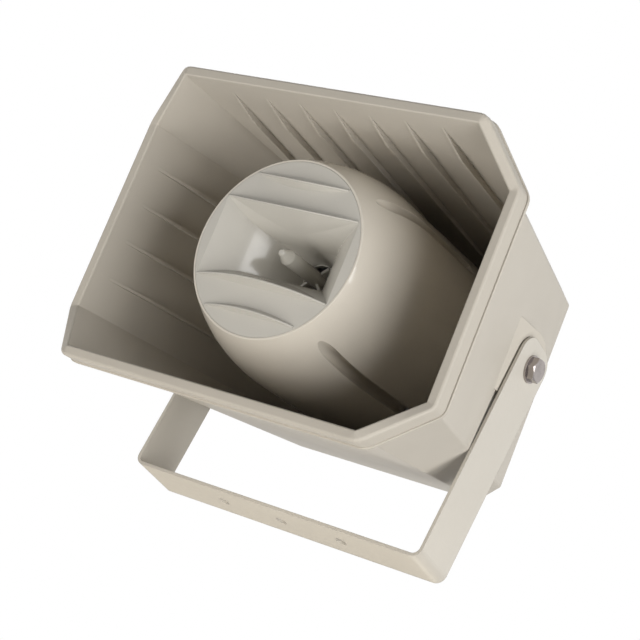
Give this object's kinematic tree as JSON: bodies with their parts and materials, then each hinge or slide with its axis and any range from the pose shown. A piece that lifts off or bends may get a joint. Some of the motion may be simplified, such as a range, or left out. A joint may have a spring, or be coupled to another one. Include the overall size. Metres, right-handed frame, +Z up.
{
  "type": "pa horn speaker",
  "caption": "Two-way horn loudspeaker with an eight-sided flared mouth, a central plug with a high-frequency horn, and a tilting U bracket.",
  "frame": {"origin": "centre of the bracket base's outer face, in the middle fixing hole", "axes": "+Z up the upright bracket's legs, the mouth faces -Y and droops as in the picture, +X along the pivot axis"},
  "size_m": [0.3168, 0.3083, 0.2623],
  "materials": {
    "bracket_paint": "fine powder coat",
    "horn_plastic": "moulded, fine grain",
    "brass": "turned",
    "stainless": "stainless steel",
    "rubber": "matt",
    "plug_plastic": "moulded, satin",
    "zinc_screws": "zinc plated",
    "face_plastic": "moulded",
    "rod_plastic": "moulded",
    "steel": "plated steel",
    "ferrite": "sintered",
    "titanium": "thin foil",
    "copper": "wire on a former",
    "film": "film",
    "black_plastic": "moulded",
    "foam": "foam rubber",
    "steel_black": "black coat",
    "paper": "doped paper",
    "spider_cloth": "woven, doped",
    "cover_plastic": "moulded, fine grain",
    "gland_plastic": "nylon",
    "iron": "varnished sheets",
    "tape": "taped winding",
    "board": "printed board",
    "capacitor": "sleeve"
  },
  "bodies": {
    "bracket": {"u_bracket": "bracket_paint"},
    "horn": {"horn_housing": "horn_plastic", "pivot_inserts": "brass", "pivot_bolts": "stainless", "flat_washers": "stainless", "friction_washers": "rubber", "plug_shell": "plug_plastic", "plug_screws": "zinc_screws", "hf_horn": "face_plastic", "phase_plug": "rod_plastic", "hf_screws": "zinc_screws", "hf_pole_plate": "steel", "hf_magnet": "ferrite", "hf_rear_plate": "steel", "hf_suspension": "film", "hf_rear_cap": "black_plastic", "hf_cap_screws": "zinc_screws", "lf_gasket": "foam", "lf_basket": "steel_black", "lf_screws": "zinc_screws", "lf_surround": "rubber", "lf_spider": "spider_cloth", "lf_top_plate": "steel", "lf_magnet": "ferrite", "lf_yoke": "steel", "cover_gasket": "foam", "terminal_cover": "cover_plastic", "cover_screws": "stainless", "gland_body": "gland_plastic", "gland_nut": "gland_plastic", "gland_seal": "rubber", "gland_cap": "gland_plastic", "transformer_core": "iron", "transformer_coil": "tape", "transformer_frame": "steel", "crossover_board": "board", "crossover_capacitor": "capacitor", "terminal_block": "black_plastic", "terminal_screws": "zinc_screws"},
    "cone": {"lf_cone": "paper", "lf_dust_cap": "paper", "lf_voice_coil": "copper"},
    "diaphragm": {"hf_diaphragm": "titanium", "hf_voice_coil": "copper"}
  },
  "joints": [
    {"name": "tilt", "type": "hinge", "parent": "bracket", "child": "horn", "pos_m": [0, 0, 0.1617], "axis": [-1, 0, 0], "range_deg": [0, 200]},
    {"name": "cone_travel", "type": "slide", "parent": "horn", "child": "cone", "axis": [0, 0.9833, 0.1822], "range_m": [-0.0025, 0.0025], "stiffness_N_per_m": 1500},
    {"name": "diaphragm_travel", "type": "slide", "parent": "horn", "child": "diaphragm", "axis": [0, 0.9833, 0.1822], "range_m": [-0.00025, 0.00025], "stiffness_N_per_m": 2000}
  ]
}
